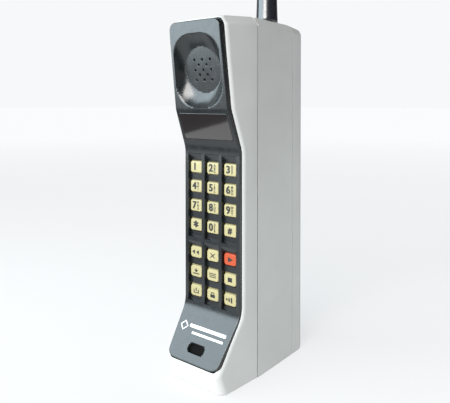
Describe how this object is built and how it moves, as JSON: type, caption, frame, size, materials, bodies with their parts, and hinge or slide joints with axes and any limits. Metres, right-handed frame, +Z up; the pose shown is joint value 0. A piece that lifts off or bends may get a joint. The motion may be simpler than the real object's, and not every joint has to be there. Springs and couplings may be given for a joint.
{
  "type": "mobile brick phone",
  "caption": "Early mobile brick phone: tall grey body with a dark curved face, sprung cream keys, clip-on battery pack and screw-in rubber antenna.",
  "frame": {"origin": "middle of the base, on the surface the phone stands on", "axes": "+Z up along the antenna, -Y out of the keypad face, +X to the right seen from behind the face's back, that is to the viewer's right when facing the keypad"},
  "size_m": [0.0448, 0.0831, 0.3277],
  "materials": {
    "housing_grey": "fine textured satin",
    "panel_charcoal": "satin",
    "key_cream": "satin",
    "key_red": "satin",
    "smoked_lens": "polished",
    "antenna_rubber": "glossy",
    "black_rubber": "matte",
    "dome_rubber": "matte",
    "black_plastic": "matte",
    "cover_grey": "matte",
    "circuit_board": "solder mask",
    "digit_red": "polished",
    "ribbon_film": "satin",
    "cell_wrap": "shrink wrap",
    "chassis_aluminium": "milled",
    "screw_steel": "zinc plated",
    "shield_tin": "tinned",
    "filter_brass": "satin",
    "contact_brass": "polished"
  },
  "bodies": {
    "phone": {"front_housing": "housing_grey", "middle_housing": "housing_grey", "chassis_frame": "chassis_aluminium", "housing_screws": "screw_steel", "board_screws": "screw_steel", "front_panel": "panel_charcoal", "display_lens": "smoked_lens", "display_board": "circuit_board", "digit_modules": "digit_red", "earpiece_speaker": "screw_steel", "speaker_gasket": "black_rubber", "microphone": "screw_steel", "microphone_boot": "black_rubber", "key_board": "circuit_board", "key_dome_sheet": "dome_rubber", "logic_board": "circuit_board", "logic_chips": "black_plastic", "radio_board": "circuit_board", "radio_shield": "shield_tin", "duplexer_filter": "filter_brass", "ringer": "black_plastic", "ribbon_cable": "ribbon_film", "antenna_socket": "contact_brass", "contact_springs": "contact_brass", "contact_block": "black_plastic", "accessory_connector": "black_plastic"},
    "battery": {"battery_case": "housing_grey", "battery_cover": "cover_grey", "battery_cells": "cell_wrap", "cell_links": "shield_tin", "battery_contacts": "contact_brass"},
    "battery_latch": {"battery_latch": "black_plastic"},
    "antenna": {"antenna_whip": "antenna_rubber", "antenna_stud": "contact_brass"},
    "key_1": {"key_1": "key_cream"},
    "key_2": {"key_2": "key_cream"},
    "key_3": {"key_3": "key_cream"},
    "key_4": {"key_4": "key_cream"},
    "key_5": {"key_5": "key_cream"},
    "key_6": {"key_6": "key_cream"},
    "key_7": {"key_7": "key_cream"},
    "key_8": {"key_8": "key_cream"},
    "key_9": {"key_9": "key_cream"},
    "key_star": {"key_star": "key_cream"},
    "key_0": {"key_0": "key_cream"},
    "key_hash": {"key_hash": "key_cream"},
    "key_recall": {"key_recall": "key_cream"},
    "key_clear": {"key_clear": "key_cream"},
    "key_send": {"key_send": "key_red"},
    "key_store": {"key_store": "key_cream"},
    "key_function": {"key_function": "key_cream"},
    "key_end": {"key_end": "key_cream"},
    "key_power": {"key_power": "key_cream"},
    "key_lock": {"key_lock": "key_cream"},
    "key_volume": {"key_volume": "key_cream"}
  },
  "joints": [
    {"name": "press_1", "type": "slide", "parent": "phone", "child": "key_1", "axis": [0, 1, 0], "range_m": [0, 0.0009], "stiffness_N_per_m": 300},
    {"name": "press_2", "type": "slide", "parent": "phone", "child": "key_2", "axis": [0, 1, 0], "range_m": [0, 0.0009], "stiffness_N_per_m": 300},
    {"name": "press_3", "type": "slide", "parent": "phone", "child": "key_3", "axis": [0, 1, 0], "range_m": [0, 0.0009], "stiffness_N_per_m": 300},
    {"name": "press_4", "type": "slide", "parent": "phone", "child": "key_4", "axis": [0, 1, 0], "range_m": [0, 0.0009], "stiffness_N_per_m": 300},
    {"name": "press_5", "type": "slide", "parent": "phone", "child": "key_5", "axis": [0, 1, 0], "range_m": [0, 0.0009], "stiffness_N_per_m": 300},
    {"name": "press_6", "type": "slide", "parent": "phone", "child": "key_6", "axis": [0, 1, 0], "range_m": [0, 0.0009], "stiffness_N_per_m": 300},
    {"name": "press_7", "type": "slide", "parent": "phone", "child": "key_7", "axis": [0, 1, 0], "range_m": [0, 0.0009], "stiffness_N_per_m": 300},
    {"name": "press_8", "type": "slide", "parent": "phone", "child": "key_8", "axis": [0, 1, 0], "range_m": [0, 0.0009], "stiffness_N_per_m": 300},
    {"name": "press_9", "type": "slide", "parent": "phone", "child": "key_9", "axis": [0, 1, 0], "range_m": [0, 0.0009], "stiffness_N_per_m": 300},
    {"name": "press_star", "type": "slide", "parent": "phone", "child": "key_star", "axis": [0, 1, 0], "range_m": [0, 0.0009], "stiffness_N_per_m": 300},
    {"name": "press_0", "type": "slide", "parent": "phone", "child": "key_0", "axis": [0, 1, 0], "range_m": [0, 0.0009], "stiffness_N_per_m": 300},
    {"name": "press_hash", "type": "slide", "parent": "phone", "child": "key_hash", "axis": [0, 1, 0], "range_m": [0, 0.0009], "stiffness_N_per_m": 300},
    {"name": "press_recall", "type": "slide", "parent": "phone", "child": "key_recall", "axis": [0, 1, 0], "range_m": [0, 0.0009], "stiffness_N_per_m": 300},
    {"name": "press_clear", "type": "slide", "parent": "phone", "child": "key_clear", "axis": [0, 1, 0], "range_m": [0, 0.0009], "stiffness_N_per_m": 300},
    {"name": "press_send", "type": "slide", "parent": "phone", "child": "key_send", "axis": [0, 1, 0], "range_m": [0, 0.0009], "stiffness_N_per_m": 300},
    {"name": "press_store", "type": "slide", "parent": "phone", "child": "key_store", "axis": [0, 1, 0], "range_m": [0, 0.0009], "stiffness_N_per_m": 300},
    {"name": "press_function", "type": "slide", "parent": "phone", "child": "key_function", "axis": [0, 1, 0], "range_m": [0, 0.0009], "stiffness_N_per_m": 300},
    {"name": "press_end", "type": "slide", "parent": "phone", "child": "key_end", "axis": [0, 1, 0], "range_m": [0, 0.0009], "stiffness_N_per_m": 300},
    {"name": "press_power", "type": "slide", "parent": "phone", "child": "key_power", "axis": [0, 1, 0], "range_m": [0, 0.0009], "stiffness_N_per_m": 300},
    {"name": "press_lock", "type": "slide", "parent": "phone", "child": "key_lock", "axis": [0, 1, 0], "range_m": [0, 0.0009], "stiffness_N_per_m": 300},
    {"name": "press_volume", "type": "slide", "parent": "phone", "child": "key_volume", "axis": [0, 1, 0], "range_m": [0, 0.0009], "stiffness_N_per_m": 300},
    {"name": "battery_slide", "type": "slide", "parent": "phone", "child": "battery", "axis": [0, 1, 0], "range_m": [0, 0.03]},
    {"name": "latch_slide", "type": "slide", "parent": "battery", "child": "battery_latch", "axis": [0, 0, -1], "range_m": [0, 0.0015], "stiffness_N_per_m": 400},
    {"name": "antenna_screw", "type": "hinge", "parent": "phone", "child": "antenna", "pos_m": [0.0105, 0.0171, 0.2066], "axis": [0, 0, 1], "range_deg": [0, 360]}
  ]
}
